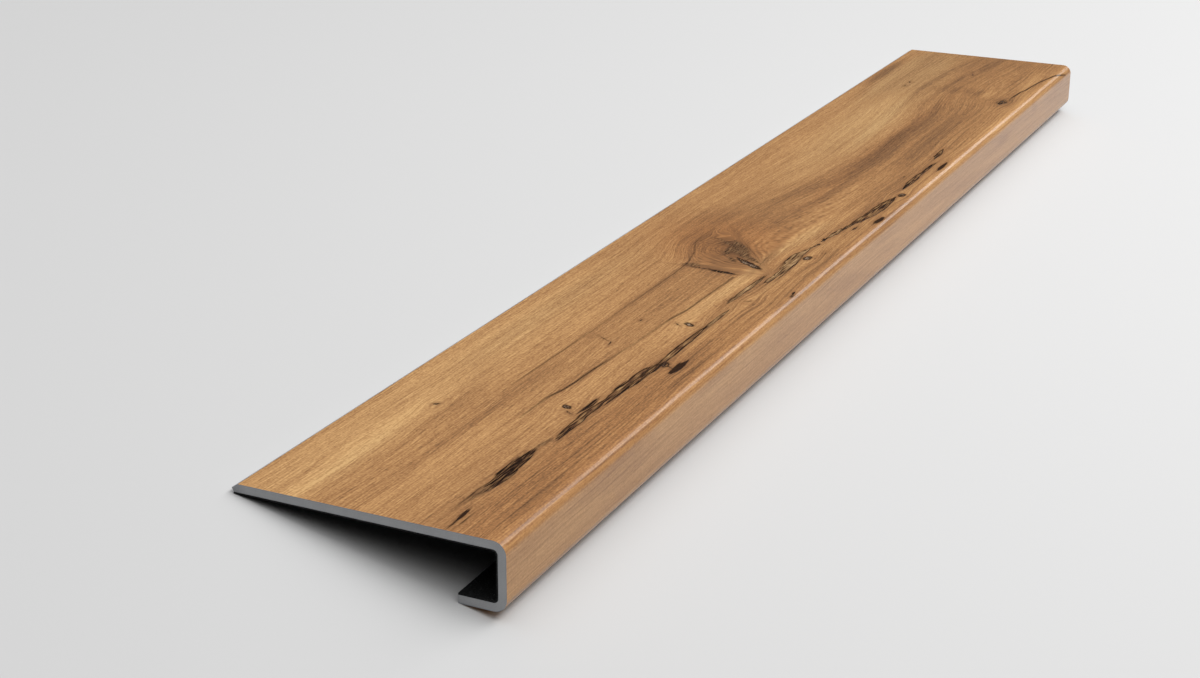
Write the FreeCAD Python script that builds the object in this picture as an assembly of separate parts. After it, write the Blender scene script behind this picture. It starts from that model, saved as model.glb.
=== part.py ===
import FreeCAD, Part
import math
import os

# A stair tread cover made from one rigid vinyl plank, bent twice into a hook that goes over the front
# edge of a step. Sizes are in millimetres. The section is drawn as it sits on the step: Y runs from the
# front face to the back, Z runs up from the underside of the lip, and the length lies along X.

# Overall sizes
tread_length = 1200.0
tread_depth = 166.0
nose_height = 41.0
lip_depth = 29.0

# Layers, from the decor face inwards
film_thickness = 0.5
core_thickness = 4.5
pad_thickness = 1.25

# The two bends, measured on the decor face
nose_bend_radius = 8.0
lower_bend_radius = 8.0

# Back edge: what is left of the plank's tongue side
tongue_reach = 4.0
tongue_drop = 2.6
tongue_undercut = 1.0
pad_setback = 0.1

# The lip's end is sawn out of square, with its foot standing out, in degrees
lip_end_slant = 6.5

# Depths of the layer boundaries under the decor face
core_top = film_thickness
core_bottom = film_thickness + core_thickness
pad_bottom = core_bottom + pad_thickness


def at(y, z):
    """A point of the section, at the near end of the tread."""
    return FreeCAD.Vector(-tread_length / 2, y, z)


def back_reach(depth):
    """How far the core's back edge stands behind the decor's back edge, at a depth under the decor."""
    if depth <= tongue_drop:
        return tongue_reach * depth / tongue_drop
    below_arris = (depth - tongue_drop) / (core_bottom - tongue_drop)
    return tongue_reach - tongue_undercut * below_arris


def lip_end(depth):
    """Where the lip ends, at a depth above its underside."""
    return lip_depth - depth * math.tan(math.radians(lip_end_slant))


def bent_line(depth, back_y):
    """One layer boundary as edges, from the back edge over the nose to the end of the lip."""
    top_z = nose_height - depth
    nose_centre_y = nose_bend_radius
    nose_centre_z = nose_height - nose_bend_radius
    low_centre = lower_bend_radius
    diagonal = math.sqrt(0.5)
    nose_inset = (nose_bend_radius - depth) * diagonal
    low_inset = (lower_bend_radius - depth) * diagonal

    back = at(back_y, top_z)
    nose_start = at(nose_centre_y, top_z)
    nose_middle = at(nose_centre_y - nose_inset, nose_centre_z + nose_inset)
    nose_end = at(depth, nose_centre_z)
    low_start = at(depth, low_centre)
    low_middle = at(low_centre - low_inset, low_centre - low_inset)
    low_end = at(low_centre, depth)
    lip_tip = at(lip_end(depth), depth)
    return [
        Part.makeLine(back, nose_start),
        Part.Arc(nose_start, nose_middle, nose_end).toShape(),
        Part.makeLine(nose_end, low_start),
        Part.Arc(low_start, low_middle, low_end).toShape(),
        Part.makeLine(low_end, lip_tip),
    ]


def layer(outer, inner, back_points):
    """One layer of the laminate, between two depths. back_points shape its back edge, upper point first."""
    edges = bent_line(outer, back_points[0].y)
    edges += bent_line(inner, back_points[-1].y)
    edges.append(Part.makeLine(at(lip_end(outer), outer), at(lip_end(inner), inner)))
    for upper, lower in zip(back_points, back_points[1:]):
        edges.append(Part.makeLine(upper, lower))
    outline = Part.Wire(Part.__sortEdges__(edges))
    return Part.Face(outline).extrude(FreeCAD.Vector(tread_length, 0, 0))


def back_point(depth):
    """The corner of the back edge at a depth under the decor."""
    return at(tread_depth + back_reach(depth), nose_height - depth)


def make_decor_film():
    """Printed film and clear wear layer. Its back edge is bevelled with the core."""
    return layer(0.0, core_top, [back_point(0.0), back_point(core_top)])


def make_rigid_core():
    """Mineral-filled vinyl core, with the bevel and the undercut of the plank's tongue side."""
    return layer(core_top, core_bottom, [back_point(core_top), back_point(tongue_drop), back_point(core_bottom)])


def make_underlay_pad():
    """Foam pad on the inner faces, trimmed square, just short of the core's lower corner."""
    pad_back = tread_depth + back_reach(core_bottom) - pad_setback
    upper = at(pad_back, nose_height - core_bottom)
    lower = at(pad_back, nose_height - pad_bottom)
    return layer(core_bottom, pad_bottom, [upper, lower])


def rest_angle():
    """How far the cover tips back about the foot of its lip before its back edge meets the floor."""
    pad_corner = at(tread_depth + back_reach(core_bottom) - pad_setback, nose_height - pad_bottom)
    corners = [back_point(tongue_drop), back_point(core_bottom), pad_corner]
    return min(math.degrees(math.atan2(corner.z, corner.y - lip_depth)) for corner in corners)


pieces = {
    "decor_film": make_decor_film(),
    "rigid_core": make_rigid_core(),
    "underlay_pad": make_underlay_pad(),
}

# The cover is tail-heavy: left alone on a floor it lies on the foot of its lip and on its back edge.
for shape in pieces.values():
    shape.rotate(at(lip_depth, 0.0), FreeCAD.Vector(1, 0, 0), -rest_angle())

# The origin is on the floor, under the middle of the part.
box = Part.makeCompound(list(pieces.values())).optimalBoundingBox(False, False)
to_origin = FreeCAD.Vector(-box.Center.x, -box.Center.y, -box.ZMin)

os.makedirs("parts", exist_ok=True)
for name, shape in pieces.items():
    shape.translate(to_origin)
    shape.exportStep("parts/" + name + ".step")
    print(name, "valid", shape.isValid(), "volume", round(shape.Volume, 1))
print("rest angle", round(rest_angle(), 3), "box", round(box.YLength, 3), round(box.ZLength, 3))
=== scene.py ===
import math

import bmesh
import bpy
import numpy as np
from mathutils import Matrix, Vector, noise


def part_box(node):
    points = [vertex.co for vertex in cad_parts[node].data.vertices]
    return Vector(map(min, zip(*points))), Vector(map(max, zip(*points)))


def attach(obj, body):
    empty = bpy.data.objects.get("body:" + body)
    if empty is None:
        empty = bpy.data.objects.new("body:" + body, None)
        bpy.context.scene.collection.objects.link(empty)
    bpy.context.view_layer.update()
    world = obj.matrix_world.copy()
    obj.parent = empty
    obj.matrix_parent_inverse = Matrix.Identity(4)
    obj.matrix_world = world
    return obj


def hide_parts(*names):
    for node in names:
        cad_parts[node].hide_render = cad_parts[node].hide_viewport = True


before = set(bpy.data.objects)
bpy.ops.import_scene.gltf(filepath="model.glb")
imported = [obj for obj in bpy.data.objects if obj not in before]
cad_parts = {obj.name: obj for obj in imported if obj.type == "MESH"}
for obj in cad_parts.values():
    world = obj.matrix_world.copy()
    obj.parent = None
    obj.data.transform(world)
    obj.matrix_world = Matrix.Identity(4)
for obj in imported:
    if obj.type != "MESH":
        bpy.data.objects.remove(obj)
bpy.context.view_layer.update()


# Decor film
# The outside of the tread: a printed rustic-wood film under a clear wear layer, half a millimetre thick
# together. It is laminated to a flat plank, which is then grooved, heated and bent twice into a hook, so
# the grain runs over the top, round the nose, down the front and under the lip without a seam.

# Sizes are in millimetres, and the scene is in metres
mm = 0.001
tread_length = 1200.0
tread_depth = 166.0
nose_height = 41.0
lip_depth = 29.0
film_thickness = 0.5
core_thickness = 4.5
pad_thickness = 1.25
nose_bend_radius = 8.0
lower_bend_radius = 8.0
tongue_reach = 4.0
tongue_drop = 2.6
tongue_undercut = 1.0
pad_setback = 0.1
core_bottom = film_thickness + core_thickness
pad_bottom = core_bottom + pad_thickness

# Places that are nearer than this are the same
tolerance = 0.001

# Runs are measured over the decor face, from its back edge
nose_start = tread_depth - nose_bend_radius
nose_end = nose_start + nose_bend_radius * math.pi / 2
low_start = nose_end + nose_height - nose_bend_radius - lower_bend_radius
low_end = low_start + lower_bend_radius * math.pi / 2
lip_end = low_end + lip_depth - lower_bend_radius


def spaced(*stops):
    """Positions from the first stop to the last. Each later stop is (position, how many steps to it)."""
    places = [stops[0]]
    for stop, steps in stops[1:]:
        places += [places[-1] + (stop - places[-1]) * (i + 1) / steps for i in range(steps)]
    return places


def bent(run, depth):
    """Where a point of the flat plank ends up in the section, as it sits on a step."""
    nose_turn = np.clip((run - nose_start) / nose_bend_radius, 0, math.pi / 2)
    low_turn = np.clip((run - low_start) / lower_bend_radius, 0, math.pi / 2)
    down = np.clip(run - nose_end, 0, low_start - nose_end)
    y = tread_depth - np.minimum(run, nose_start) - (nose_bend_radius - depth) * np.sin(nose_turn)
    z = nose_height - nose_bend_radius + (nose_bend_radius - depth) * np.cos(nose_turn) - down
    y += (lower_bend_radius - depth) * (1 - np.cos(low_turn)) + np.maximum(run - low_end, 0)
    z -= (lower_bend_radius - depth) * np.sin(low_turn)
    return y, z


def back_reach(depth):
    """How far the core's back edge stands behind the decor's, at a depth under the decor."""
    if depth <= tongue_drop:
        return tongue_reach * depth / tongue_drop
    return tongue_reach - tongue_undercut * (depth - tongue_drop) / (core_bottom - tongue_drop)


# Left alone on a floor the cover tips back onto the foot of its lip and the corner of its pad
pad_corner_y = tread_depth + back_reach(core_bottom) - pad_setback
rest_angle = math.atan2(nose_height - pad_bottom, pad_corner_y - lip_depth)


def tipped(y, z):
    """The section turned about the foot of its lip, as it lies on the floor."""
    turn_y = (y - lip_depth) * math.cos(rest_angle) + z * math.sin(rest_angle)
    turn_z = z * math.cos(rest_angle) - (y - lip_depth) * math.sin(rest_angle)
    return turn_y, turn_z


arris = tipped(tread_depth + tongue_reach, nose_height - tongue_drop)
shift_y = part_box("rigid_core")[1].y / mm - arris[0]
shift_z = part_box("decor_film")[0].z / mm


def flat_strip(columns, rows, depths, back):
    """A flat strip of the plank in (along, run, -depth): a grid, extruded down from depth to depth."""
    strip = bmesh.new()
    bmesh.ops.create_grid(strip, x_segments=len(columns) - 1, y_segments=len(rows) - 1, size=0.5)
    for vert in strip.verts:
        column = round((vert.co.x + 0.5) * (len(columns) - 1))
        row = round((vert.co.y + 0.5) * (len(rows) - 1))
        vert.co = (columns[column], rows[row], -depths[0])
    layer = strip.faces[:]
    for upper, lower in zip(depths, depths[1:]):
        is_first = upper == depths[0]
        grown = bmesh.ops.extrude_face_region(strip, geom=layer, use_keep_orig=is_first)
        layer = [part for part in grown["geom"] if isinstance(part, bmesh.types.BMFace)]
        moved = [part for part in grown["geom"] if isinstance(part, bmesh.types.BMVert)]
        bmesh.ops.translate(strip, verts=moved, vec=(0, 0, upper - lower))
    # The back edge gets its profile, and the lip's end is square
    for vert in strip.verts:
        if vert.co.y == rows[0]:
            vert.co.y -= back(-vert.co.z)
    bmesh.ops.recalc_face_normals(strip, faces=strip.faces)
    return strip


def finished(strip, name):
    """The strip's mesh as an object in the scene."""
    mesh = bpy.data.meshes.new(name)
    strip.to_mesh(mesh)
    strip.free()
    piece = bpy.data.objects.new(name, mesh)
    bpy.context.scene.collection.objects.link(piece)
    return piece


def points_of(mesh):
    """The three places of all the points of a mesh."""
    flat = np.empty(len(mesh.vertices) * 3, np.float32)
    mesh.vertices.foreach_get("co", flat)
    return flat.reshape(-1, 3).T.astype(float)


def move_points(mesh, *places):
    """Gives all the points of a mesh three new places."""
    mesh.vertices.foreach_set("co", np.stack(places, axis=1).astype(np.float32).ravel())
    mesh.update()


def bend_to_place(mesh):
    """Bends a flat strip's mesh round nose and lip, tips it onto the floor and turns it to metres."""
    along, run, height = points_of(mesh)
    y, z = tipped(*bent(run, -height))
    move_points(mesh, (along - tread_length / 2) * mm, (y + shift_y) * mm, (z + shift_z) * mm)


def linear(hex_colour):
    """An sRGB hex colour as the linear RGBA that the nodes take."""
    parts = [int(hex_colour[i:i + 2], 16) / 255 for i in (1, 3, 5)]
    return [c / 12.92 if c <= 0.04045 else ((c + 0.055) / 1.055) ** 2.4 for c in parts] + [1.0]


def node(tree, kind, inputs=None, **settings):
    """Adds a shader node with its settings, and links or sets its inputs."""
    made = tree.nodes.new("ShaderNode" + kind)
    for name, value in settings.items():
        setattr(made, name, value)
    for name, value in (inputs or {}).items():
        if isinstance(name, int):
            socket = made.inputs[name]
        else:
            socket = next(entry for entry in made.inputs if entry.enabled and entry.name == name)
        if isinstance(value, bpy.types.NodeSocket):
            tree.links.new(value, socket)
        else:
            socket.default_value = value
    return made


def new_material(piece, name):
    """Gives a piece one more material, and returns the material's empty node tree."""
    material = bpy.data.materials.new(name)
    material.use_nodes = True
    material.node_tree.nodes.clear()
    piece.data.materials.append(material)
    return material.node_tree


# The figure of the print, laid out on the flat plank: along from the near end, run from the back edge.
# A crack is a pointed lens: along, run, half its length, half its width, and its dip to the nose in
# degrees. These are charred inside
solid_cracks = (
    (11, 129.9, 11, 0.7, 0), (20, 133.4, 8, 0.4, 0), (87, 123.6, 32, 4.2, 1), (70, 126.4, 21, 3.2, 2),
    (44, 121.2, 19, 0.45, 1), (104, 123.2, 14, 2.4, 0), (140, 127.8, 12, 2.4, 0),
    (186, 123.2, 16, 1.7, 3), (175, 126.2, 7, 0.4, -8), (212, 131.2, 24, 1.3, 1),
    (222, 126.0, 9, 1.5, 0), (268, 134.4, 36, 1.0, 1), (236, 133.2, 18, 1.4, 3),
    (300, 130.6, 44, 0.4, 0), (308, 134.6, 40, 0.4, 0), (456, 137.4, 22, 0.6, 3),
    (450, 128.7, 7, 1.0, 0), (494, 131.0, 12, 0.5, -2), (396, 126.2, 8, 0.6, 1),
    (478, 139.6, 32, 0.6, -1), (553, 138.2, 6.5, 1.8, 3), (592, 149.4, 7, 1.3, 0),
    (596, 143.4, 18, 0.15, 3), (660, 150.6, 20, 1.8, 2), (780, 149.0, 14, 1.1, 4),
    (716, 149.4, 13, 1.3, -2), (742, 147.2, 16, 0.8, 2), (429, 160.8, 4.5, 1.3, 0),
    (741, 139.4, 4, 0.6, 0), (817, 145.0, 11, 1.3, 0), (524, 150.4, 3, 0.25, 0),
    (636, 146.8, 29, 0.6, 4),
)
# No fibres show inside these
black_cracks = (
    (20, 129.3, 9, 1.8, 0), (266.5, 145.6, 14.5, 3.0, 0), (618, 159.2, 14, 2.2, 4),
    (785, 158.4, 17, 1.9, 0),
)
# Torn fibres show inside these, with a painted highlight line
hollow_cracks = (
    (154, 127.8, 23, 2.7, 1), (176, 127.0, 26, 2.6, 2), (214, 128.4, 32, 2.0, 2),
    (242, 128.6, 22, 2.5, 2), (262, 132.2, 24, 1.4, 2), (300, 132.6, 46, 2.5, 0),
    (643, 149.2, 41, 4.6, 3.5), (610, 144.8, 34, 1.6, 4), (735, 149.2, 28, 2.5, -1),
    (765, 149.6, 34, 1.4, 2), (822, 144.6, 17, 2.2, -3),
)
# Beside the branch the print shows fresher, paler wood inside them, and their palest streaks are painted
# glints in the pressed cracks
pale_cracks = (
    (356, 133.2, 24, 1.5, 1), (424, 128.7, 36, 2.1, 2), (452, 135.2, 12, 1.7, 6),
    (478, 136.6, 34, 2.6, 1), (500, 131.4, 14, 1.4, -2), (505, 134.4, 30, 2.4, 3),
    (524, 135.0, 21, 1.1, 13), (577, 141.2, 30, 1.9, 7),
)
# These run across the grain, so the print doesn't tear them
cross_cracks = (
    (450.5, 99.6, 12, 2.2, 92), (452.5, 84, 17, 0.7, 88), (480.5, 104.5, 12, 1.5, -58),
    (471, 116, 6, 0.15, -52), (1018, 143.6, 4.3, 2.0, 0), (1027, 143.0, 3.2, 1.5, -20),
    (1062, 41.8, 4, 0.7, -10), (1045, 42.6, 4, 0.5, 0), (1118, 88.2, 5, 0.35, -15),
    (148, 39.6, 3, 1.3, 40), (287, 88.8, 4, 0.6, -12), (292, 82, 6, 0.4, -60), (334.5, 89, 2.5, 0.7, 0),
    (170.5, 117, 4, 0.5, -60), (338, 114, 2.6, 0.6, -45), (1024, 147, 5, 1.0, 4),
    (508, 143.0, 2.0, 0.9, 20), (689.5, 154.6, 3.6, 1.5, 0), (341, 122.4, 2.0, 0.8, -40),
    (401, 139, 2.5, 0.5, 60), (489, 116.4, 13, 0.3, -4), (506, 98.6, 21, 0.2, -37),
    (267, 137, 3.2, 1.6, -10), (264.2, 140.8, 3.2, 0.7, -55), (178, 112, 2.0, 0.4, -62),
)
# The dark eyes of the knots, and the bark by the branch's scar, are ovals
rings = (
    (178, 111.8, 3.7, 2.5, -62), (267, 136.8, 4.8, 2.4, -10), (341, 120.8, 4.3, 2.6, -52),
    (506.5, 142.2, 5.0, 3.0, 8), (690, 154.2, 5.0, 3.0, 0), (475.5, 109.5, 14.5, 3.3, -56),
)
# Grey-brown fibres lie open beside the branch, round one knot and by the near cracks
smears = (
    (503, 92, 23, 6.6, -33), (489, 103, 18, 3.6, -54), (498, 85, 12, 3.8, -4), (513, 78, 9, 2.0, -58),
    (480, 94.5, 8, 3.0, -40), (520, 67, 8, 1.5, -70), (456, 73, 8, 4.0, 82), (1022, 143.8, 11, 5.0, 0),
    (50, 124.2, 18, 2.6, 4), (124, 124.6, 9, 2.2, 6),
)

# Dark lines that follow the grain: half their width, their route, and how strongly they show along it
grain_lines = (
    (1.6,
     ((150, 94.4), (185, 95), (200, 97.4), (240, 99.6), (300, 103.5), (345, 105.6), (365, 107.8),
      (400, 109), (447, 110.8)),
     ((148, 0), (158, 0.42), (182, 0.6), (206, 1), (250, 0.95), (268, 0.4), (335, 0.45), (350, 0.85),
      (400, 0.7), (440, 0.75), (449, 0))),
    (1.0,
     ((190, 65.4), (270, 67.6), (400, 69), (450, 69), (480, 64), (520, 53.5), (545, 55)),
     ((188, 0), (200, 0.3), (270, 0.6), (300, 0.35), (400, 0.45), (450, 0.6), (480, 0.5), (520, 0.4),
      (545, 0))),
    (1.7,
     ((1030, 148.2), (1060, 148.4), (1072, 150), (1080, 151.8), (1110, 154.2), (1130, 157.6),
      (1150, 161), (1170, 165.6), (1195, 171.5)),
     ((1028, 0), (1040, 0.6), (1060, 1), (1100, 1), (1160, 1), (1185, 0))),
)

# Soft lighter and darker places: along, run, half their length, half their depth, how much lighter, dip.
# Two long ovals over the front are painted light and shade
tones = (
    (60, 34, 130, 8, 0.12, 0), (40, 30, 150, 30, 0.10, 0), (250, 20, 200, 26, 0.08, 0),
    (280, 46, 110, 14, 0.08, 0), (60, 84, 120, 10, 0.10, 0), (390, 115, 100, 9, 0.16, 1),
    (215, 108, 90, 8, 0.05, 0), (560, 122, 90, 9, 0.18, 6), (400, 140, 150, 8, 0.07, 1),
    (527, 133, 34, 6, 0.14, 8), (430, 123.5, 34, 4.5, 0.12, 1), (530, 145, 40, 8, 0.08, 0),
    (110, 148, 280, 20, -0.12, 1), (360, 85, 130, 18, -0.06, 1), (490, 84, 56, 34, -0.24, -30),
    (503, 90, 28, 8, -0.22, -36), (496, 85, 14, 7, -0.20, -8), (545, 45, 62, 36, -0.15, -20),
    (640, 62, 90, 18, -0.12, 12), (850, 50, 190, 24, 0.13, -1), (900, 64, 120, 8, 0.06, -4),
    (1050, 92, 16, 34, -0.10, 0), (1088, 7, 62, 6.5, -0.27, 1), (1150, 7, 60, 3, -0.08, 1),
    (1010, 14, 80, 5, -0.08, -3), (880, 126, 170, 12, -0.16, 0), (1150, 88, 90, 20, -0.10, 3),
    (1047, 124.5, 19, 6.5, 0.22, 0), (1045, 123, 26, 14, -0.06, 0), (1000, 164, 220, 8, 0.09, 1),
    (550, 163, 180, 7, -0.12, 0), (90, 50, 180, 5, -0.06, 0), (455, 82, 7, 18, -0.16, 0),
    (515, 78, 12, 8, -0.14, 70), (690, 144, 120, 8, -0.08, 0), (1130, 124, 60, 14, -0.05, 0),
    (700, 118, 110, 8, 0.06, 1), (1022, 144, 22, 12, -0.16, 0), (507, 142, 10, 7, -0.12, 0),
    (689, 154, 11, 7, -0.10, 0), (178, 112, 8, 7, -0.06, 0), (170, 117, 6, 2, -0.22, -60),
    # (600, 178, 660, 18, 0.08, 0) is painted light: it lightens the whole front for its sheen and how it
    # is lit
    (395, 141, 5, 6, -0.10, 60), (600, 178, 660, 18, 0.08, 0), (140, 176, 60, 9, -0.10, 2),
    (400, 180, 80, 10, -0.05, 2), (520, 182, 80, 7, -0.12, 9), (790, 184, 110, 7, -0.05, 4),
    (1060, 172, 12, 7, -0.08, 0), (950, 178, 26, 6, -0.08, 3), (420, 163, 40, 7, -0.08, 0),
    (680, 163, 50, 7, -0.10, 0), (940, 163, 40, 7, 0.06, 0), (1150, 178, 60, 16, -0.05, 0),
    (300, 147, 50, 9, -0.07, 0), (1170, 147, 40, 9, -0.05, 0), (620, 170, 60, 7, -0.08, 0),
    (50, 156, 50, 5, -0.12, 0), (50, 167, 50, 3, 0.12, 0), (250, 157, 50, 4, -0.14, 0),
    (490, 157, 60, 4, -0.09, 0), (230, 97, 70, 6, -0.12, 1), (325, 58, 45, 12, 0.09, 0),
    (370, 20, 60, 12, -0.07, 0), (430, 72, 45, 6, -0.11, 0), (425, 109, 40, 4, -0.10, 0),
    (30, 124, 40, 5, -0.10, 0), (1040, 114, 22, 3.5, -0.10, 0), (1150, 50, 50, 8, 0.11, 0),
    (1178, 122, 30, 12, -0.12, 0), (1125, 86, 35, 5, 0.10, 0), (480, 124, 60, 4, 0.08, 2),
    (30, 20, 80, 30, 0.04, 0), (200, 25, 150, 30, 0.03, 0), (205, 85, 70, 25, -0.05, 0),
    (575, 88, 50, 28, -0.09, 0), (790, 75, 90, 30, -0.05, 0), (1100, 35, 130, 34, -0.06, 0),
    (1180, 60, 60, 60, -0.05, 0), (480, 30, 60, 30, -0.05, 0), (1110, 147, 50, 8, 0.12, 0),
    # (950, 180, 330, 16, -0.06, 0) is painted shade: it darkens the far half of the front
    (740, 146, 60, 10, -0.06, 0), (950, 180, 330, 16, -0.06, 0), (940, 176, 60, 10, -0.05, 0),
)
# Long bands: along, run, half their depth and how much lighter, at each bend of their route
bands = (
    ((0, 105, 62, -0.06), (tread_length, 105, 62, -0.08)),
    ((520, 52, 12, 0), (580, 64, 14, -0.06), (660, 80, 10, -0.09), (720, 93, 9, -0.14),
     (780, 98, 8.5, -0.25), (860, 98.5, 8.5, -0.28), (930, 99, 8.5, -0.20), (990, 96, 9, -0.08),
     (1060, 92, 9, -0.04), (1200, 104, 14, -0.04)),
    ((545, 88, 4, 0), (600, 97, 7, -0.12), (660, 101, 6, -0.10), (740, 104, 4, 0)),
    ((640, 112, 6, 0), (700, 116, 7, -0.06), (900, 118, 7, -0.10), (1000, 112, 6, -0.08),
     (1060, 106, 6, 0)),
    ((0, 72, 4, -0.06), (150, 73, 4, -0.08), (260, 68, 3, -0.04), (450, 69, 3, -0.10),
     (470, 64, 4, -0.10), (530, 50, 6, 0)),
    ((0, 41.5, 1.6, -0.08), (140, 41, 1.6, -0.08), (250, 41, 2, 0)),
    ((880, 73, 2, 0), (960, 66, 2.5, -0.08), (1040, 60, 3, -0.15), (1120, 63, 2.5, -0.12),
     (1200, 75, 3, -0.06)),
    ((920, 90, 3, -0.04), (980, 82, 4, -0.10), (1040, 77, 4, -0.16), (1100, 83, 4, -0.12),
     (1160, 92, 5, -0.10), (1200, 99, 5, -0.08)),
    ((1000, 100, 2, 0), (1040, 91, 2, -0.16), (1070, 93, 2, -0.12), (1110, 96, 2, 0)),
    ((780, 101, 1.4, 0), (850, 102, 1.4, -0.10), (960, 100, 1.4, -0.12), (1010, 97, 1.4, 0)),
    ((600, 98, 4, 0), (660, 103, 5, -0.13), (720, 104, 5.5, -0.15), (780, 108, 4.5, -0.17),
     (880, 109, 4.5, -0.22), (930, 109, 4.5, -0.12), (980, 108, 4, 0)),
    ((590, 56, 9, 0), (640, 60, 9, 0.09), (720, 69, 11, 0.10), (800, 76, 11, 0.09), (900, 75, 12, 0.10),
     (970, 74, 8, 0.07), (1020, 76, 5, 0.09), (1060, 76, 5, 0.05), (1080, 76, 5, 0)),
)
# How red the print is, laid out as the soft places are: below 0 it is greener
hues = (
    (150, 26, 400, 30, -0.3, 0), (60, 38, 60, 8, -0.3, 0), (330, 24, 140, 12, -0.3, 0),
    (1120, 34, 110, 30, -0.6, 0), (520, 72, 70, 60, 1.0, -20), (960, 52, 330, 34, -0.7, -1),
    (1080, 22, 130, 14, -0.8, 0), (900, 66, 120, 8, -0.5, -4), (100, 150, 330, 26, 0.5, 0),
    (820, 96, 240, 10, 0.4, 0), (440, 117, 120, 6, -0.5, 1), (540, 122, 70, 8, -0.7, 6),
    (600, 200, 640, 30, 0.3, 0),
)

# Knots that the grain swells round: along, run, size
knots = (
    (178, 112, 5), (267, 137, 5), (148, 39.6, 5), (341, 121, 5), (507, 142.4, 6), (689.5, 154.6, 6),
    (1022, 143.8, 7), (400, 141, 5), (287, 89, 4),
)
# Where the grain swells towards the back edge: how far, then where that starts, is full, fades and
# ends, along and across. The first swell is the branch's
swells = ((22, (452, 520, 530, 790), (0, 80, 88, 132)), (13, (900, 1040, 1050, 1250), (10, 70, 92, 146)))

# The branch itself shows as oval rings, which start at a crack and are cut off by a slanting scar
branch_along, branch_run = 502, 108
ring_length, ring_depth, ring_step = 46, 56, 37
ring_crack = (452, 460)
scar_along, scar_run, scar_dip = 505, 99, -38


def smooth(low, high, value):
    """0 below low, 1 above high, and an even curve between."""
    part = np.clip((value - low) / (high - low), 0, 1)
    return part * part * (3 - 2 * part)


def hump(start, full, fade, end, value):
    """1 from full to fade, 0 before start and past end, and an even curve between."""
    return smooth(start, full, value) * (1 - smooth(fade, end, value))


def dipped(along, run, dip):
    """How far a place lies ahead and how far aside, in the directions of a mark that dips."""
    turn = math.radians(dip)
    ahead = along * math.cos(turn) + run * math.sin(turn)
    aside = run * math.cos(turn) - along * math.sin(turn)
    return ahead, aside


# A crack's depth is this much below 0 where no crack is near
far_outside = -9.0


def crack_depth(cracks, along, run):
    """How far inside its nearest crack a point lies, in mm. It is below 0 outside."""
    deepest = np.full(along.shape, far_outside)
    for centre, middle, half_length, half_width, dip in cracks:
        ahead, aside = dipped(along - centre, run - middle, dip)
        ahead /= half_length
        deepest = np.maximum(deepest, half_width * (1 - ahead * ahead) - np.abs(aside))
    return deepest


def grain_place(along, run):
    """Which straight grain line a point belongs to: the lines swell over a branch and round each knot."""
    line = run.copy()
    for rise, lengthways, crossways in swells:
        line += rise * hump(*lengthways, along) * hump(*crossways, run)
    ring = np.hypot((along - branch_along) / ring_length, (run - branch_run) / ring_depth)
    above_scar = -dipped(along - scar_along, run - scar_run, scar_dip)[1]
    inside = (1 - smooth(0.85, 1.25, ring)) * smooth(-1, 4, above_scar) * smooth(*ring_crack, along)
    line += (branch_run - ring_step * ring - line) * inside
    for centre, middle, size in knots:
        near = np.exp(-((along - centre) / (3.0 * size)) ** 2 - ((run - middle) / (1.8 * size)) ** 2)
        line -= 0.75 * (run - middle) * near
    return line


def shaded(start, ovals, along, run):
    """A value that each soft oval raises or lowers."""
    value = np.full(along.shape, start)
    for centre, middle, half_length, half_depth, change, dip in ovals:
        ahead, aside = dipped(along - centre, run - middle, dip)
        value += change * (1 - smooth(0.25, 1.25, np.hypot(ahead / half_length, aside / half_depth)))
    return value


# How light the plain print is, and how much of that it loses to the far end, which is painted shade for
# light that falls off along the tread
plain_tone = 0.69
far_end_painted_shade = 0.03


def tone_at(along, run):
    """How light the print is before its grain, with painted shade to the far end: 0 is the darkest brown,
    1 the palest.
    """
    tone = shaded(plain_tone, tones, along, run) - far_end_painted_shade * along / tread_length
    for route in bands:
        stops, *shape = zip(*route)
        middle, half_depth, change = (np.interp(along, stops, values, 0, 0) for values in shape)
        within = np.abs(run - middle) / np.maximum(half_depth, 1.0)
        tone += change * (1 - smooth(0.4, 1.3, within)) * (along >= stops[0])
    return tone


film_columns = spaced(0.0, (tread_length, 430))
film_rows = spaced(0.0, (80.0, 40), (nose_start, 98), (nose_end, 12), (low_start, 14), (low_end, 10),
                   (lip_end, 8))
film_strip = flat_strip(film_columns, film_rows, [0.0, film_thickness], back_reach)

# The sawn edges are the faces with corners at more than one height
for side in film_strip.faces:
    if len({round(vert.co.z, 4) for vert in side.verts}) > 1:
        side.material_index = 1
bends = (nose_start - tolerance, nose_end + tolerance), (low_start - tolerance, low_end + tolerance)


def is_spare(edge):
    """An edge of the hidden underside that no bend needs."""
    first, second = (vert.co for vert in edge.verts)
    if edge.is_boundary or max(first.z, second.z) > tolerance - film_thickness:
        return False
    if any(side.material_index for side in edge.link_faces):
        return False
    is_crossways = abs(first.x - second.x) < tolerance
    return is_crossways or not any(low < first.y < high for low, high in bends)


spare = [edge for edge in film_strip.edges if is_spare(edge)]
bmesh.ops.dissolve_edges(film_strip, edges=spare, use_verts=True)
film = finished(film_strip, "wood_film")

# The mesh carries the print's layout, which is drawn before the plank is bent
along, run, height = points_of(film.data)
flat = np.zeros_like(run)
for name, kind, field, values in (
    ("face", "FLOAT_VECTOR", "vector", np.stack([along, run, flat], axis=1)),
    ("grain", "FLOAT_VECTOR", "vector", np.stack([along, grain_place(along, run), flat], axis=1)),
    ("tone", "FLOAT", "value", tone_at(along, run)),
    ("red", "FLOAT", "value", shaded(0.0, hues, along, run)),
):
    carried = film.data.attributes.new(name, kind, "POINT")
    carried.data.foreach_set(field, values.astype(np.float32).ravel())

# The cracks are pressed into the wear layer
press_depth = 0.16
all_cracks = solid_cracks + black_cracks + hollow_cracks + pale_cracks + cross_cracks
pressed = smooth(-0.6, 1.0, crack_depth(all_cracks, along, run))
height -= press_depth * pressed * (height > -tolerance)
move_points(film.data, along, run, height)
bend_to_place(film.data)

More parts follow.
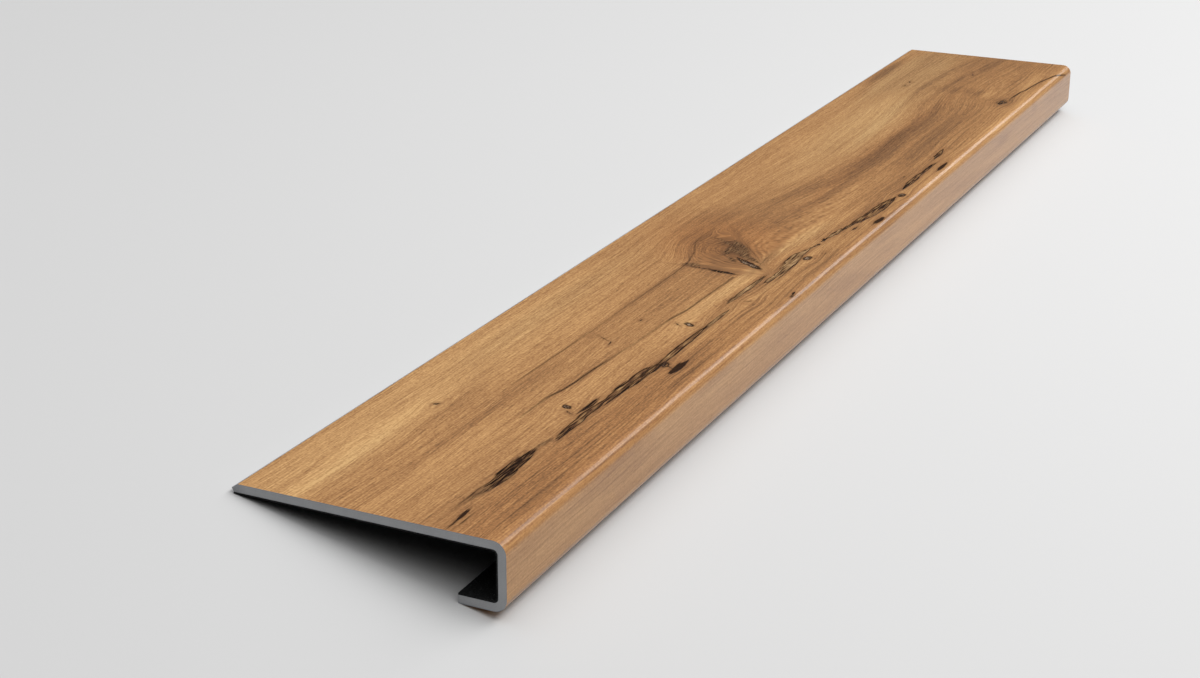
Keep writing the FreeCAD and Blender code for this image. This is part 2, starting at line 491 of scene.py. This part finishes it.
# Vinyl film with a printed picture of worn, cracked wood. To the eye it is all in one plane, in mid
# browns, with a low sheen. A pattern's scale is one over the length and the width of its marks in mm
wood = new_material(film, "printed_rustic_wood")
face = node(wood, "Attribute", attribute_name="face").outputs["Vector"]
grain = node(wood, "Attribute", attribute_name="grain").outputs["Vector"]
tone = node(wood, "Attribute", attribute_name="tone").outputs["Fac"]
red = node(wood, "Attribute", attribute_name="red").outputs["Fac"]
parts = node(wood, "SeparateXYZ", {"Vector": face}).outputs

# Grain lines wander slowly across the plank
sway_reach = 11.0
slow = node(wood, "Mapping", {"Vector": face, "Scale": (1 / 230, 1 / 50, 1)}).outputs[0]
sway = node(wood, "TexNoise", {"Vector": slow, "Scale": 1.0, "Detail": 2.0},
            noise_dimensions="2D").outputs["Fac"]
sway = node(wood, "Math", {0: sway, 1: sway_reach, 2: -sway_reach / 2},
            operation="MULTIPLY_ADD").outputs[0]
sway = node(wood, "CombineXYZ", {"Y": sway}).outputs[0]
lines = node(wood, "VectorMath", {0: grain, 1: sway}, operation="ADD").outputs[0]

# Streaks of every width: length and width in mm, detail, strength. The finest is print grain. Each is
# shifted by a few marks from the one before, so that no two coincide
streaks = ((420.0, 15.0, 1.0, 0.21), (240.0, 5.0, 2.0, 0.17), (120.0, 1.9, 2.0, 0.30),
           (60.0, 1.0, 1.0, 0.42), (11.0, 1.1, 1.0, 0.33), (1.8, 1.2, 0.0, 0.31))
figure = -0.5 * sum(strength for length, width, detail, strength in streaks)
streak_noise = []
for number, (length, width, detail, strength) in enumerate(streaks):
    place = node(wood, "Mapping", {"Vector": lines, "Location": (3.7 * number, 5.1 * number, 0),
                                   "Scale": (1 / length, 1 / width, 1)}).outputs[0]
    streak = node(wood, "TexNoise", {"Vector": place, "Scale": 1.0, "Detail": detail},
                  noise_dimensions="2D").outputs["Fac"]
    figure = node(wood, "Math", {0: streak, 1: strength, 2: figure}, operation="MULTIPLY_ADD").outputs[0]
    streak_noise.append(streak)

# Short dark pores
place = node(wood, "Mapping", {"Vector": lines, "Scale": (1 / 7.0, 1 / 0.55, 1)}).outputs[0]
pore = node(wood, "TexNoise", {"Vector": place, "Scale": 1.0, "Detail": 0.0},
            noise_dimensions="2D").outputs["Fac"]
pore = node(wood, "MapRange", {"Value": pore, "From Min": 0.62, "From Max": 0.78}).outputs[0]
figure = node(wood, "Math", {0: pore, 1: -0.15, 2: figure}, operation="MULTIPLY_ADD").outputs[0]

# Furrows of denser grain along the nose
place = node(wood, "Mapping", {"Vector": lines, "Scale": (1 / 110.0, 1 / 1.7, 1)}).outputs[0]
furrow = node(wood, "TexNoise", {"Vector": place, "Scale": 1.0, "Detail": 0.0},
              noise_dimensions="2D").outputs["Fac"]
furrow = node(wood, "MapRange", {"Value": furrow, "From Min": 0.5, "From Max": 0.72}).outputs[0]
by_nose = node(wood, "MapRange", {"Value": parts["Y"], "From Min": 118.0, "From Max": 140.0,
                                  "To Min": 0.0, "To Max": -0.17}).outputs[0]
figure = node(wood, "Math", {0: furrow, 1: by_nose, 2: figure}, operation="MULTIPLY_ADD").outputs[0]

# The front is printed calmer than the top, and the far half a little calmer than the near one
calm = node(wood, "MapRange", {"Value": parts["Y"], "From Min": 152.0, "From Max": 172.0,
                               "To Min": 1.0, "To Max": 0.55}).outputs[0]
far = node(wood, "MapRange", {"Value": parts["X"], "From Min": 450.0, "From Max": 800.0,
                              "To Min": 1.0, "To Max": 0.88}).outputs[0]
calm = node(wood, "Math", {0: calm, 1: far}, operation="MULTIPLY").outputs[0]
shade = node(wood, "Math", {0: figure, 1: calm, 2: tone}, operation="MULTIPLY_ADD").outputs[0]

# Cracks tear along the grain, and knots are ragged all round, so the layout is pulled about before they
# are laid on it: length and width of a pull, then how far it reaches along and across, all in mm
pulled = []
for length, width, reach_along, reach_across in ((20.0, 2.2, 16.0, 1.9), (5.0, 5.0, 2.4, 2.4)):
    place = node(wood, "Mapping", {"Vector": face, "Scale": (1 / length, 1 / width, 1)}).outputs[0]
    pull = node(wood, "TexNoise", {"Vector": place, "Scale": 1.0, "Detail": 2.0},
                noise_dimensions="2D").outputs["Color"]
    pull = node(wood, "VectorMath", {0: pull, 1: (reach_along, reach_across, 0.0),
                                     2: (-reach_along / 2, -reach_across / 2, 0.0)},
                operation="MULTIPLY_ADD").outputs[0]
    pulled.append(node(wood, "VectorMath", {0: face, 1: pull}, operation="ADD").outputs[0])
torn, jogged = pulled

# How deep inside a crack or a knot a point lies, where a crack is pointed and a knot oval. The first
# steps are dot products, which leave single numbers: a shader holds at most 255 at once
groups = []
for kind in ("crack", "knot"):
    group = bpy.data.node_groups.new(kind, "ShaderNodeTree")
    for name in ("Vector", "Ahead", "Aside"):
        group.interface.new_socket(name, in_out="INPUT", socket_type="NodeSocketVector")
    for name in ("Centre", "Middle", "Width", "Deepest"):
        group.interface.new_socket(name, in_out="INPUT", socket_type="NodeSocketFloat")
    group.interface.new_socket("Deepest", in_out="OUTPUT", socket_type="NodeSocketFloat")
    given = group.nodes.new("NodeGroupInput").outputs
    ahead = node(group, "VectorMath", {0: given["Vector"], 1: given["Ahead"]},
                 operation="DOT_PRODUCT").outputs["Value"]
    ahead = node(group, "Math", {0: ahead, 1: given["Centre"]}, operation="SUBTRACT").outputs[0]
    square = node(group, "Math", {0: ahead, 1: ahead}, operation="MULTIPLY").outputs[0]
    aside = node(group, "VectorMath", {0: given["Vector"], 1: given["Aside"]},
                 operation="DOT_PRODUCT").outputs["Value"]
    aside = node(group, "Math", {0: aside, 1: given["Middle"]}, operation="SUBTRACT").outputs[0]
    if kind == "crack":
        used = node(group, "Math", {0: square, 1: given["Width"]}, operation="MULTIPLY").outputs[0]
        aside = node(group, "Math", {0: aside}, operation="ABSOLUTE").outputs[0]
        used = node(group, "Math", {0: used, 1: aside}, operation="ADD").outputs[0]
    else:
        aside = node(group, "Math", {0: aside, 1: given["Width"]}, operation="DIVIDE").outputs[0]
        used = node(group, "Math", {0: aside, 1: aside, 2: square}, operation="MULTIPLY_ADD").outputs[0]
        used = node(group, "Math", {0: used}, operation="SQRT").outputs[0]
        used = node(group, "Math", {0: used, 1: given["Width"]}, operation="MULTIPLY").outputs[0]
    depth = node(group, "Math", {0: given["Width"], 1: used}, operation="SUBTRACT").outputs[0]
    deepest = node(group, "Math", {0: depth, 1: given["Deepest"]}, operation="MAXIMUM").outputs[0]
    group.links.new(deepest, group.nodes.new("NodeGroupOutput").inputs["Deepest"])
    groups.append(group)
lens, oval = groups

depths = []
for cracks, laid, group in (
    (solid_cracks, torn, lens), (black_cracks, torn, lens), (hollow_cracks, torn, lens),
    (pale_cracks, torn, lens), (cross_cracks, jogged, lens), (rings, jogged, oval), (smears, jogged, lens),
):
    depth = far_outside
    for centre, middle, half_length, half_width, dip in cracks:
        cos, sin = math.cos(math.radians(dip)), math.sin(math.radians(dip))
        ahead, aside = dipped(centre, middle, dip)
        depth = node(wood, "Group", {
            "Vector": laid, "Ahead": (cos / half_length, sin / half_length, 0), "Aside": (-sin, cos, 0),
            "Centre": ahead / half_length, "Middle": aside, "Width": half_width, "Deepest": depth,
        }, node_tree=group).outputs[0]
    depths.append(depth)
solid, black, hollow, pale, cross, ring, smear = depths

# Torn fibres inside the cracks, and fibres that lie along the branch's scar
place = node(wood, "Mapping", {"Vector": torn, "Scale": (1 / 16.0, 1 / 1.1, 1)}).outputs[0]
fibre = node(wood, "TexNoise", {"Vector": place, "Scale": 1.0, "Detail": 3.0},
             noise_dimensions="2D").outputs["Fac"]
place = node(wood, "Mapping", {"Vector": jogged, "Rotation": (0, 0, -math.radians(scar_dip)),
                               "Scale": (1 / 9.0, 1 / 1.2, 1)}).outputs[0]
hatch = node(wood, "TexNoise", {"Vector": place, "Scale": 1.0, "Detail": 3.0},
             noise_dimensions="2D").outputs["Fac"]

# The print's colours, each along a factor
ramps = []
for factor, stops in (
    (shade, ((0.0, "#5d4430"), (0.34, "#8a6544"), (0.5, "#a0744b"), (0.67, "#b48758"), (0.83, "#c69864"),
             (1.0, "#d8ab72"))),
    (hatch, ((0.36, "#3d2b1f"), (0.48, "#614731"), (0.6, "#7d5f42"), (0.74, "#937350"))),
    (hatch, ((0.36, "#45342a"), (0.48, "#78624f"), (0.6, "#a08a74"), (0.74, "#bba690"))),
    # The torn fibres' palest stop is a painted highlight: a bright line inside the pressed hollow cracks
    (fibre, ((0.31, "#33221a"), (0.42, "#5e412d"), (0.54, "#825f40"), (0.65, "#9c7850"),
             (0.78, "#bf9c70"))),
    # The pale fibres are partly paler print and partly painted highlight, for glints in the pressed cracks
    (fibre, ((0.32, "#4c3727"), (0.44, "#7d5e40"), (0.56, "#9c7a54"), (0.72, "#bf9d73"))),
    (fibre, ((0.38, "#1e140c"), (0.5, "#33221a"), (0.59, "#563d29"), (0.7, "#80603f"))),
):
    ramp = node(wood, "ValToRGB", {"Fac": factor})
    while len(ramp.color_ramp.elements) < len(stops):
        ramp.color_ramp.elements.new(0.5)
    for element, (position, shown) in zip(ramp.color_ramp.elements, stops):
        element.position = position
        element.color = linear(shown)
    ramps.append(ramp.outputs["Color"])
ground, open_fibres, grey_bark, torn_fibres_and_glint, pale_fibres_and_glint, char = ramps

# The ground is tinted from a greener brown to a redder one
green_tint = (0.97, 1.06, 1.17, 1.0)
red_tint = (1.0, 0.93, 0.92, 1.0)
tint = node(wood, "MapRange", {"Value": red, "From Min": -1.0, "From Max": 1.0}).outputs[0]
tint = node(wood, "Mix", {"Factor": tint, "A": green_tint, "B": red_tint},
            data_type="RGBA").outputs["Result"]
colour = node(wood, "Mix", {"Factor": 1.0, "A": ground, "B": tint}, data_type="RGBA",
              blend_type="MULTIPLY").outputs["Result"]

# Laid over the ground one after the other: a stain round the cracks, the open fibres, then each kind of
# crack and knot. Each has its colour, the depths in mm where it starts and is full, and how much it covers
either = solid
for depth in (black, hollow, pale, cross):
    either = node(wood, "Math", {0: either, 1: depth}, operation="MAXIMUM").outputs[0]
for over, depth, start, end, most in (
    (linear("#7b563a"), either, -4.0, 0.0, 0.38),
    (open_fibres, smear, -0.8, 1.8, 0.82),
    (linear("#2e1e15"), pale, -0.25, 0.15, 0.95),
    (pale_fibres_and_glint, pale, 0.3, 0.6, 0.95),
    (linear("#2b1b10"), hollow, -0.35, 0.25, 0.95),
    (torn_fibres_and_glint, hollow, 0.5, 1.2, 0.92),
    (linear("#2b1c12"), ring, -0.5, 0.4, 0.9),
    (grey_bark, ring, 0.8, 1.5, 0.75),
    (char, solid, -0.35, 0.5, 1.0),
    (linear("#2d1d14"), black, -0.35, 0.6, 0.97),
    (char, cross, -0.35, 0.5, 1.0),
):
    mask = node(wood, "MapRange", {"Value": depth, "From Min": start, "From Max": end,
                                   "To Max": most}).outputs[0]
    colour = node(wood, "Mix", {"Factor": mask, "A": colour, "B": over},
                  data_type="RGBA").outputs["Result"]

# Dark grain lines wander by a little to either side of their route. A curve's values end at 1, so a
# route is drawn on it as a share of run_scale
run_scale = 200.0
line_wander = 1.6
place = node(wood, "Mapping", {"Vector": face, "Scale": (1 / 25.0, 1 / 25.0, 1)}).outputs[0]
wander = node(wood, "TexNoise", {"Vector": place, "Scale": 1.0, "Detail": 3.0},
              noise_dimensions="2D").outputs["Fac"]
share = node(wood, "Math", {0: parts["X"], 1: tread_length}, operation="DIVIDE").outputs[0]
for half_width, route, strengths in grain_lines:
    curves = []
    for points, whole in ((route, run_scale), (strengths, 1.0)):
        curve = node(wood, "FloatCurve", {"Value": share})
        shape = curve.mapping.curves[0]
        while len(shape.points) < len(points):
            shape.points.new(0.5, 0.5)
        for point, (x, y) in zip(shape.points, points):
            point.location = (x / tread_length, y / whole)
        curve.mapping.update()
        curves.append(curve.outputs[0])
    run_there, strength_there = curves
    aside = node(wood, "Math", {0: run_there, 1: -run_scale, 2: parts["Y"]},
                 operation="MULTIPLY_ADD").outputs[0]
    aside = node(wood, "Math", {0: wander, 1: line_wander, 2: aside}, operation="MULTIPLY_ADD").outputs[0]
    aside = node(wood, "Math", {0: aside, 1: line_wander / 2}, operation="SUBTRACT").outputs[0]
    aside = node(wood, "Math", {0: aside}, operation="ABSOLUTE").outputs[0]
    core_line = node(wood, "MapRange", {"Value": aside, "From Min": half_width, "From Max": 0.2,
                                        "To Min": 0.0, "To Max": 0.9}).outputs[0]
    mark = node(wood, "Math", {0: core_line, 1: strength_there}, operation="MULTIPLY").outputs[0]
    colour = node(wood, "Mix", {"Factor": mark, "A": colour, "B": linear("#35241a")},
                  data_type="RGBA").outputs["Result"]

# The wear layer: clear, slightly embossed with the grain, which scatters most of its sheen. Its index is
# below that of a bare lacquer, to match that weak sheen
relief = node(wood, "Math", {0: streak_noise[3], 1: 0.6, 2: streak_noise[2]},
              operation="MULTIPLY_ADD").outputs[0]
bump = node(wood, "Bump", {"Height": relief, "Strength": 0.15, "Distance": 0.2 * mm}).outputs[0]
surface = node(wood, "BsdfPrincipled", {"Base Color": colour, "Roughness": 0.23, "Normal": bump,
                                        "IOR": 1.32})
node(wood, "OutputMaterial", {"Surface": surface.outputs[0]})

# The film's own sawn edge: greyer and bluer than the core, because the clear wear layer shows beside
# the print, and a little glossier. Its specks are 0.4 mm
tree = new_material(film, "sawn_clear_film")
place = node(tree, "TexCoord").outputs["Object"]
speck = node(tree, "TexNoise", {"Vector": place, "Scale": 1 / (0.4 * mm), "Detail": 1.0}).outputs["Fac"]
shown = node(tree, "Mix", {"Factor": speck, "A": linear("#7d848d"), "B": linear("#9da2a9")},
             data_type="RGBA").outputs["Result"]
bump = node(tree, "Bump", {"Height": speck, "Strength": 0.2, "Distance": 0.05 * mm}).outputs[0]
surface = node(tree, "BsdfPrincipled", {"Base Color": shown, "Roughness": 0.42, "Normal": bump,
                                        "IOR": 1.45})
node(tree, "OutputMaterial", {"Surface": surface.outputs[0]})
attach(film, "root")
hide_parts("decor_film")


# Rigid core
# The plank itself: grey vinyl filled with chalk, milled and sawn, so its cut faces are dull and finely
# speckled. Its back edge is what is left of the plank's tongue, a bevel down to an arris and an undercut.

core_rows = spaced(0.0, (nose_start, 1), (nose_end, 12), (low_start, 1), (low_end, 12), (lip_end, 1))
core_depths = [film_thickness, tongue_drop, core_bottom]
core = finished(flat_strip([0.0, tread_length], core_rows, core_depths, back_reach), "rigid_core_board")
bend_to_place(core.data)

# Sawn vinyl full of chalk: to the eye a dull, light grey like fine-grained stone. Its chalk grains are
# drawn at twice their size so that they show, over soft mottling from the extruder
tree = new_material(core, "sawn_filled_vinyl")
place = node(tree, "TexCoord").outputs["Object"]
grains = node(tree, "TexNoise", {"Vector": place, "Scale": 1 / (0.5 * mm), "Detail": 2.0}).outputs["Fac"]
mottle = node(tree, "TexNoise", {"Vector": place, "Scale": 1 / (9.0 * mm), "Detail": 1.0}).outputs["Fac"]
shade = node(tree, "Math", {0: mottle, 1: 0.5, 2: grains}, operation="MULTIPLY_ADD").outputs[0]

# The saw's teeth leave slanting scores, and those by the tongue are the deepest
score_slant = math.radians(42)
deeper_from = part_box("rigid_core")[1].y - 9 * mm
deepest_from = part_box("rigid_core")[1].y - 2 * mm
slanted = node(tree, "Mapping", {"Vector": place, "Rotation": (score_slant, 0, 0),
                                 "Scale": (0.05, 1, 0.05)}).outputs[0]
scores = node(tree, "TexNoise", {"Vector": slanted, "Scale": 1 / (0.7 * mm), "Detail": 1.0}).outputs["Fac"]
back = node(tree, "SeparateXYZ", {"Vector": place}).outputs["Y"]
depth = node(tree, "MapRange", {"Value": back, "From Min": deeper_from, "From Max": deepest_from,
                                "To Min": 0.25, "To Max": 1.3}).outputs[0]
scores = node(tree, "Math", {0: scores, 1: depth}, operation="MULTIPLY").outputs[0]
shade = node(tree, "Math", {0: shade, 1: scores}, operation="SUBTRACT").outputs[0]
shade = node(tree, "MapRange", {"Value": shade, "From Min": 0.0, "From Max": 1.2}).outputs[0]
shown = node(tree, "Mix", {"Factor": shade, "A": linear("#8f9093"), "B": linear("#b0b1b2")},
             data_type="RGBA").outputs["Result"]
bump = node(tree, "Bump", {"Height": shade, "Strength": 0.35, "Distance": 0.12 * mm}).outputs[0]
surface = node(tree, "BsdfPrincipled", {"Base Color": shown, "Roughness": 0.72, "Normal": bump,
                                        "IOR": 1.45})
node(tree, "OutputMaterial", {"Surface": surface.outputs[0]})
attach(core, "root")
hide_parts("rigid_core")


# Underlay pad
# A thin black foam sheet that is glued on every inner face, to take up unevenness and footfall noise. Its
# skin is pitted by open cells, and the saw tears its edge, so the edge isn't quite straight.

pad_columns = spaced(0.0, (30.0, 40), (tread_length - 30.0, 80), (tread_length, 40))
pad_rows = spaced(0.0, (nose_start, 100), (nose_end, 12), (low_start, 20), (low_end, 12), (lip_end, 18))
pad_back = back_reach(core_bottom) - pad_setback
pad_strip = flat_strip(pad_columns, pad_rows, [core_bottom, pad_bottom], lambda depth: pad_back)

# The foam's inner face is uneven, and never stands past its full thickness. What it loses in mm: on
# average, in long waves and in short ones. Its back edge stays straight
mean_loss = 0.14
long_waves = 0.14
short_waves = 0.06
for vert in pad_strip.verts:
    if vert.co.z < tolerance - pad_bottom and vert.co.y > 0.0:
        waves = long_waves * noise.noise(vert.co * 0.9) + short_waves * noise.noise(vert.co * 2.3)
        vert.co.z += max(mean_loss + waves, 0.0)
pad = finished(pad_strip, "foam_pad")
bend_to_place(pad.data)

# Black foam with cells of half a millimetre: to the eye a deep matt black, full of black pits. Here and
# there its cell walls are painted a lighter grey, a painted glint for the light they catch
tree = new_material(pad, "black_foam")
place = node(tree, "TexCoord").outputs["Object"]
cells = node(tree, "TexVoronoi", {"Vector": place, "Scale": 1 / (0.55 * mm)},
             feature="F1").outputs["Distance"]
painted_glint = node(tree, "TexNoise", {"Vector": place, "Scale": 1 / (0.7 * mm), "Detail": 1.0}).outputs["Fac"]
painted_glint = node(tree, "MapRange", {"Value": painted_glint, "From Min": 0.55, "From Max": 0.72}).outputs[0]
walls = node(tree, "MapRange", {"Value": cells, "From Min": 0.3, "From Max": 0.8}).outputs[0]
walls = node(tree, "Math", {0: walls, 1: painted_glint}, operation="MULTIPLY").outputs[0]
# The lighter grey is the painted glint on the cell walls
shown = node(tree, "Mix", {"Factor": walls, "A": linear("#0a0b0b"), "B": linear("#4c4f51")},
             data_type="RGBA").outputs["Result"]
bump = node(tree, "Bump", {"Height": cells, "Strength": 0.6, "Distance": 0.3 * mm}).outputs[0]
surface = node(tree, "BsdfPrincipled", {"Base Color": shown, "Roughness": 0.9, "Normal": bump, "IOR": 1.3})
node(tree, "OutputMaterial", {"Surface": surface.outputs[0]})
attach(pad, "root")
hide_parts("underlay_pad")


# Studio
# No part of the tread: a pale matt floor, one long softbox and a white surround. Camera and softbox are
# placed round the tread as it sits level on a step, and are then tipped back with it.

image_width = 1200
focal_px = 2070.8
camera_yaw = math.radians(25.637)
camera_pitch = math.radians(20.598)
camera_roll = math.radians(0.206)
camera_at = (-842.9, -457.6, 513.4)
quarter_turn = math.pi / 2


def in_studio(x, y, z):
    """A place measured from the near end of the tread as it sits on a step, in the scene's own metres."""
    turned_y, turned_z = tipped(y, z)
    return Vector((x - tread_length / 2, turned_y + shift_y, turned_z + shift_z)) * mm


# A camera looks down with its top to the back until it is turned: rolled, raised and swung round
camera = bpy.data.objects.new("camera", bpy.data.cameras.new("camera"))
bpy.context.scene.collection.objects.link(camera)
camera.data.lens = camera.data.sensor_width * focal_px / image_width
rolled = Matrix.Rotation(camera_roll, 4, "Z")
raised = Matrix.Rotation(quarter_turn - camera_pitch, 4, "X")
swung = Matrix.Rotation(camera_yaw - quarter_turn, 4, "Z")
to_rest = Matrix.Rotation(-rest_angle, 4, "X")
camera.matrix_world = Matrix.Translation(in_studio(*camera_at)) @ to_rest @ swung @ raised @ rolled
bpy.context.scene.camera = camera

# A floor of 30 m square, painted matt: to the eye one even pale grey, with soft shadows and no reflection
floor_half = 15.0
floor_sheet = bmesh.new()
bmesh.ops.create_grid(floor_sheet, x_segments=1, y_segments=1, size=floor_half)
floor = finished(floor_sheet, "studio_floor")
tree = new_material(floor, "matt_floor_paint")
surface = node(tree, "BsdfPrincipled", {"Base Color": linear("#c9c9c9"), "Roughness": 0.9,
                                        "Specular IOR Level": 0.1})
node(tree, "OutputMaterial", {"Surface": surface.outputs[0]})

# A long softbox in front of the tread, centred past its far end, draws the highlight along the nose. It
# is aimed at the line of the nose, carried on
softbox = bpy.data.lights.new("softbox", "AREA")
softbox.shape = "RECTANGLE"
softbox.size = 5.6
softbox.size_y = 0.62
softbox.energy = 41.0
lamp_along = 2600.0
lamp_distance = 1500.0
lamp_tilt = math.radians(32.5)
aim_height = 40.0
lamp_front = -lamp_distance * math.sin(lamp_tilt)
lamp_height = aim_height + lamp_distance * math.cos(lamp_tilt)
lamp = bpy.data.objects.new("softbox", softbox)
bpy.context.scene.collection.objects.link(lamp)
lamp_place = Matrix.Translation(in_studio(lamp_along, lamp_front, lamp_height))
lamp.matrix_world = lamp_place @ to_rest @ Matrix.Rotation(lamp_tilt, 4, "X")

# The surround lights from above, and the camera sees it as an even white
world = bpy.data.worlds.new("studio")
bpy.context.scene.world = world
world.use_nodes = True
sky = world.node_tree
sky.nodes.clear()
direction = node(sky, "TexCoord").outputs["Generated"]
upwards = node(sky, "SeparateXYZ", {"Vector": direction}).outputs["Z"]
level = node(sky, "MapRange", {"Value": upwards, "From Min": 0.5, "From Max": 0.95, "To Min": 0.02,
                               "To Max": 1.75}, interpolation_type="SMOOTHSTEP").outputs["Result"]
seen = node(sky, "LightPath").outputs["Is Camera Ray"]
strength = node(sky, "Mix", {"Factor": seen, "A": level, "B": 0.8}, data_type="FLOAT").outputs["Result"]
background = node(sky, "Background", {"Color": (1, 1, 1, 1), "Strength": strength})
node(sky, "OutputWorld", {"Surface": background.outputs[0]})

bpy.context.scene.view_settings.view_transform = "Standard"
